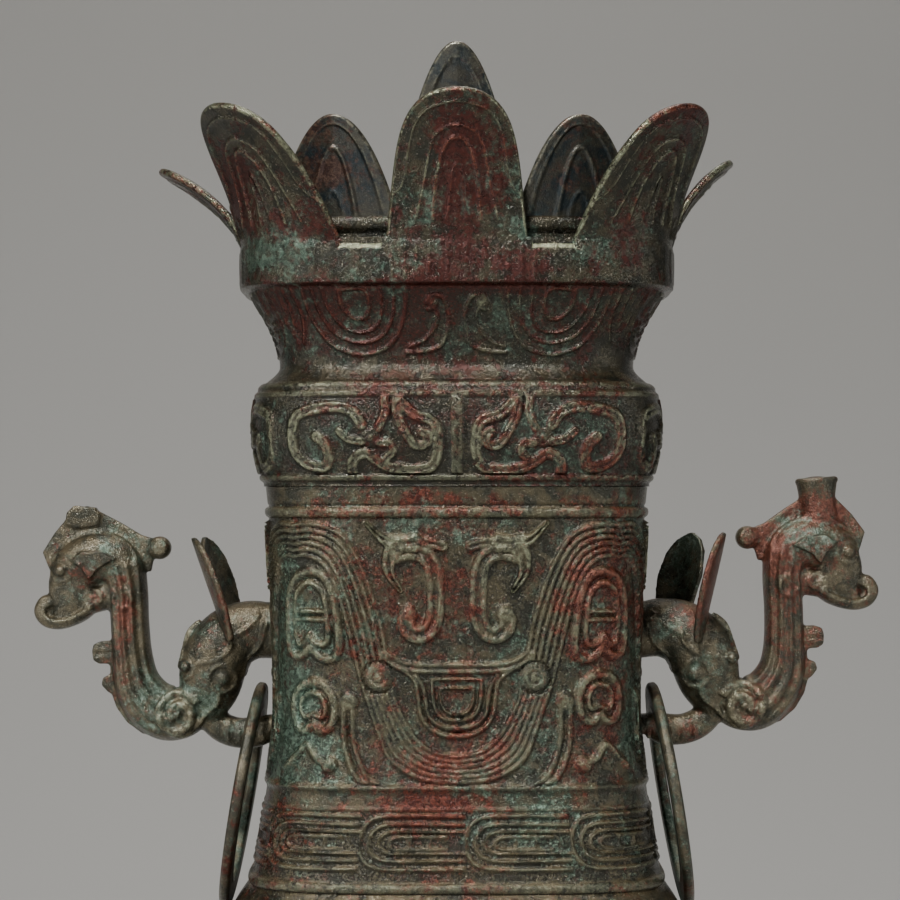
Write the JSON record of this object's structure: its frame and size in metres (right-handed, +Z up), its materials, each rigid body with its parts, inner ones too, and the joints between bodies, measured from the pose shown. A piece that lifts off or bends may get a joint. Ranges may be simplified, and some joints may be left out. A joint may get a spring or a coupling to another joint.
{
  "type": "ritual wine vessel",
  "caption": "Bronze ritual wine vessel with a petal-crowned lift-off lid, beast-head handles and a loose ring on each.",
  "frame": {"origin": "middle of the foot's underside", "axes": "+Z up, -Y towards the front panel, +X towards the handle with the horn"},
  "size_m": [0.3806, 0.1942, 0.5516],
  "materials": {
    "bronze_body": "patinated cast bronze, dark olive with red and green",
    "bronze_lid": "patinated cast bronze, red-brown with green",
    "bronze_handle": "patinated cast bronze, green with red in the grooves",
    "bronze_ring": "patinated cast bronze, pale green and tan"
  },
  "bodies": {
    "vessel": {"vessel": "bronze_body", "lid": "bronze_lid", "handle_left": "bronze_handle", "handle_right": "bronze_handle"},
    "ring_left": {"ring_left": "bronze_ring"},
    "ring_right": {"ring_right": "bronze_ring"}
  },
  "joints": [
    {"name": "ring_left_swing", "type": "hinge", "parent": "vessel", "child": "ring_left", "pos_m": [-0.0882, 0, 0.267], "axis": [0, 1, 0], "range_deg": [0, 70]},
    {"name": "ring_right_swing", "type": "hinge", "parent": "vessel", "child": "ring_right", "pos_m": [0.0886, 0, 0.267], "axis": [0, -1, 0], "range_deg": [0, 70]}
  ]
}
